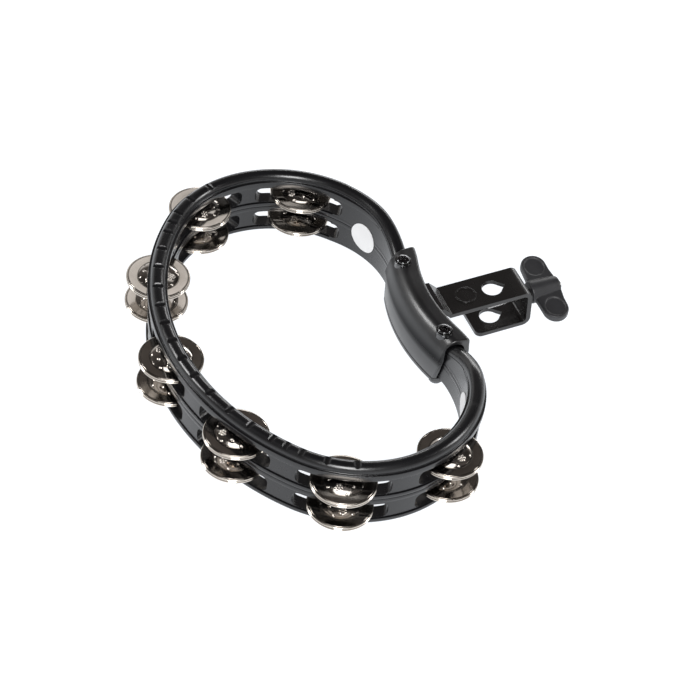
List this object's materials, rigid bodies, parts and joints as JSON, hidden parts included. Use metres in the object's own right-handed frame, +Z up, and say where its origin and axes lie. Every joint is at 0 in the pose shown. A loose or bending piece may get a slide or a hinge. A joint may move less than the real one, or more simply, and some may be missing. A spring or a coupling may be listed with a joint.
{
  "type": "mountable tambourine",
  "caption": "Kidney-shaped tambourine with a two-part plastic frame, paired steel jingles on long pins, and a bent steel rod bracket with a wing screw.",
  "frame": {"origin": "middle of the bounding box of the whole part, jingles, bolts and wing screw included", "axes": "+X towards the bracket, along the mirror plane; +Y across; +Z up, out of the grip bead"},
  "size_m": [0.284, 0.2844, 0.0501],
  "materials": {
    "frame_plastic": "satin black moulded plastic",
    "cover_plastic": "satin black moulded plastic",
    "strap_paint": "glossy black paint on bent steel",
    "black_fastener": "black oxide steel",
    "jingle_steel": "nickel-plated pressed steel",
    "pin_steel": "bright steel wire",
    "stud_zinc": "zinc-plated threaded steel",
    "knob_plastic": "dark grey matte plastic",
    "label_white": "blank white label"
  },
  "bodies": {
    "frame": {"frame_upper": "frame_plastic", "frame_lower": "frame_plastic", "pin_1": "pin_steel", "pin_2": "pin_steel", "pin_3": "pin_steel", "pin_4": "pin_steel", "pin_5": "pin_steel", "pin_6": "pin_steel", "pin_7": "pin_steel", "cover_upper": "cover_plastic", "cover_lower": "cover_plastic", "bracket_strap": "strap_paint", "cover_bolts": "black_fastener", "cover_nuts": "black_fastener", "label_discs": "label_white"},
    "jingle_1a_top": {"jingle_1a_top": "jingle_steel"},
    "jingle_1a_bottom": {"jingle_1a_bottom": "jingle_steel"},
    "jingle_1b_top": {"jingle_1b_top": "jingle_steel"},
    "jingle_1b_bottom": {"jingle_1b_bottom": "jingle_steel"},
    "jingle_2a_top": {"jingle_2a_top": "jingle_steel"},
    "jingle_2a_bottom": {"jingle_2a_bottom": "jingle_steel"},
    "jingle_2b_top": {"jingle_2b_top": "jingle_steel"},
    "jingle_2b_bottom": {"jingle_2b_bottom": "jingle_steel"},
    "jingle_3a_top": {"jingle_3a_top": "jingle_steel"},
    "jingle_3a_bottom": {"jingle_3a_bottom": "jingle_steel"},
    "jingle_3b_top": {"jingle_3b_top": "jingle_steel"},
    "jingle_3b_bottom": {"jingle_3b_bottom": "jingle_steel"},
    "jingle_4a_top": {"jingle_4a_top": "jingle_steel"},
    "jingle_4a_bottom": {"jingle_4a_bottom": "jingle_steel"},
    "jingle_4b_top": {"jingle_4b_top": "jingle_steel"},
    "jingle_4b_bottom": {"jingle_4b_bottom": "jingle_steel"},
    "jingle_5a_top": {"jingle_5a_top": "jingle_steel"},
    "jingle_5a_bottom": {"jingle_5a_bottom": "jingle_steel"},
    "jingle_5b_top": {"jingle_5b_top": "jingle_steel"},
    "jingle_5b_bottom": {"jingle_5b_bottom": "jingle_steel"},
    "jingle_6a_top": {"jingle_6a_top": "jingle_steel"},
    "jingle_6a_bottom": {"jingle_6a_bottom": "jingle_steel"},
    "jingle_6b_top": {"jingle_6b_top": "jingle_steel"},
    "jingle_6b_bottom": {"jingle_6b_bottom": "jingle_steel"},
    "jingle_7a_top": {"jingle_7a_top": "jingle_steel"},
    "jingle_7a_bottom": {"jingle_7a_bottom": "jingle_steel"},
    "jingle_7b_top": {"jingle_7b_top": "jingle_steel"},
    "jingle_7b_bottom": {"jingle_7b_bottom": "jingle_steel"},
    "clamp_stud": {"clamp_stud": "stud_zinc"},
    "wing_knob": {"wing_knob": "knob_plastic"}
  },
  "joints": [
    {"name": "jingle_1a_top_slide", "type": "slide", "parent": "frame", "child": "jingle_1a_top", "axis": [0, 0, 1], "range_m": [0, 0.0011]},
    {"name": "jingle_1a_bottom_slide", "type": "slide", "parent": "frame", "child": "jingle_1a_bottom", "axis": [0, 0, 1], "range_m": [-0.0021, 0]},
    {"name": "jingle_1b_top_slide", "type": "slide", "parent": "frame", "child": "jingle_1b_top", "axis": [0, 0, 1], "range_m": [0, 0.0011]},
    {"name": "jingle_1b_bottom_slide", "type": "slide", "parent": "frame", "child": "jingle_1b_bottom", "axis": [0, 0, 1], "range_m": [-0.0021, 0]},
    {"name": "jingle_2a_top_slide", "type": "slide", "parent": "frame", "child": "jingle_2a_top", "axis": [0, 0, 1], "range_m": [0, 0.0011]},
    {"name": "jingle_2a_bottom_slide", "type": "slide", "parent": "frame", "child": "jingle_2a_bottom", "axis": [0, 0, 1], "range_m": [-0.0021, 0]},
    {"name": "jingle_2b_top_slide", "type": "slide", "parent": "frame", "child": "jingle_2b_top", "axis": [0, 0, 1], "range_m": [0, 0.0011]},
    {"name": "jingle_2b_bottom_slide", "type": "slide", "parent": "frame", "child": "jingle_2b_bottom", "axis": [0, 0, 1], "range_m": [-0.0021, 0]},
    {"name": "jingle_3a_top_slide", "type": "slide", "parent": "frame", "child": "jingle_3a_top", "axis": [0, 0, 1], "range_m": [0, 0.0011]},
    {"name": "jingle_3a_bottom_slide", "type": "slide", "parent": "frame", "child": "jingle_3a_bottom", "axis": [0, 0, 1], "range_m": [-0.0021, 0]},
    {"name": "jingle_3b_top_slide", "type": "slide", "parent": "frame", "child": "jingle_3b_top", "axis": [0, 0, 1], "range_m": [0, 0.0011]},
    {"name": "jingle_3b_bottom_slide", "type": "slide", "parent": "frame", "child": "jingle_3b_bottom", "axis": [0, 0, 1], "range_m": [-0.0021, 0]},
    {"name": "jingle_4a_top_slide", "type": "slide", "parent": "frame", "child": "jingle_4a_top", "axis": [0, 0, 1], "range_m": [0, 0.0011]},
    {"name": "jingle_4a_bottom_slide", "type": "slide", "parent": "frame", "child": "jingle_4a_bottom", "axis": [0, 0, 1], "range_m": [-0.0021, 0]},
    {"name": "jingle_4b_top_slide", "type": "slide", "parent": "frame", "child": "jingle_4b_top", "axis": [0, 0, 1], "range_m": [0, 0.0011]},
    {"name": "jingle_4b_bottom_slide", "type": "slide", "parent": "frame", "child": "jingle_4b_bottom", "axis": [0, 0, 1], "range_m": [-0.0021, 0]},
    {"name": "jingle_5a_top_slide", "type": "slide", "parent": "frame", "child": "jingle_5a_top", "axis": [0, 0, 1], "range_m": [0, 0.0011]},
    {"name": "jingle_5a_bottom_slide", "type": "slide", "parent": "frame", "child": "jingle_5a_bottom", "axis": [0, 0, 1], "range_m": [-0.0021, 0]},
    {"name": "jingle_5b_top_slide", "type": "slide", "parent": "frame", "child": "jingle_5b_top", "axis": [0, 0, 1], "range_m": [0, 0.0011]},
    {"name": "jingle_5b_bottom_slide", "type": "slide", "parent": "frame", "child": "jingle_5b_bottom", "axis": [0, 0, 1], "range_m": [-0.0021, 0]},
    {"name": "jingle_6a_top_slide", "type": "slide", "parent": "frame", "child": "jingle_6a_top", "axis": [0, 0, 1], "range_m": [0, 0.0011]},
    {"name": "jingle_6a_bottom_slide", "type": "slide", "parent": "frame", "child": "jingle_6a_bottom", "axis": [0, 0, 1], "range_m": [-0.0021, 0]},
    {"name": "jingle_6b_top_slide", "type": "slide", "parent": "frame", "child": "jingle_6b_top", "axis": [0, 0, 1], "range_m": [0, 0.0011]},
    {"name": "jingle_6b_bottom_slide", "type": "slide", "parent": "frame", "child": "jingle_6b_bottom", "axis": [0, 0, 1], "range_m": [-0.0021, 0]},
    {"name": "jingle_7a_top_slide", "type": "slide", "parent": "frame", "child": "jingle_7a_top", "axis": [0, 0, 1], "range_m": [0, 0.0011]},
    {"name": "jingle_7a_bottom_slide", "type": "slide", "parent": "frame", "child": "jingle_7a_bottom", "axis": [0, 0, 1], "range_m": [-0.0021, 0]},
    {"name": "jingle_7b_top_slide", "type": "slide", "parent": "frame", "child": "jingle_7b_top", "axis": [0, 0, 1], "range_m": [0, 0.0011]},
    {"name": "jingle_7b_bottom_slide", "type": "slide", "parent": "frame", "child": "jingle_7b_bottom", "axis": [0, 0, 1], "range_m": [-0.0021, 0]},
    {"name": "stud_advance", "type": "slide", "parent": "frame", "child": "clamp_stud", "axis": [0.9962, 0, 0.0872], "range_m": [-0.0038, 0.0141]},
    {"name": "wing_turn", "type": "hinge", "parent": "clamp_stud", "child": "wing_knob", "pos_m": [0.12862, 0, 0.00106], "axis": [0.9962, 0, 0.0872], "range_deg": [-1350, 5040]}
  ],
  "couplings": [
    {"joint": "stud_advance", "follows": "wing_turn", "m_per_rad": 0.00015915}
  ]
}
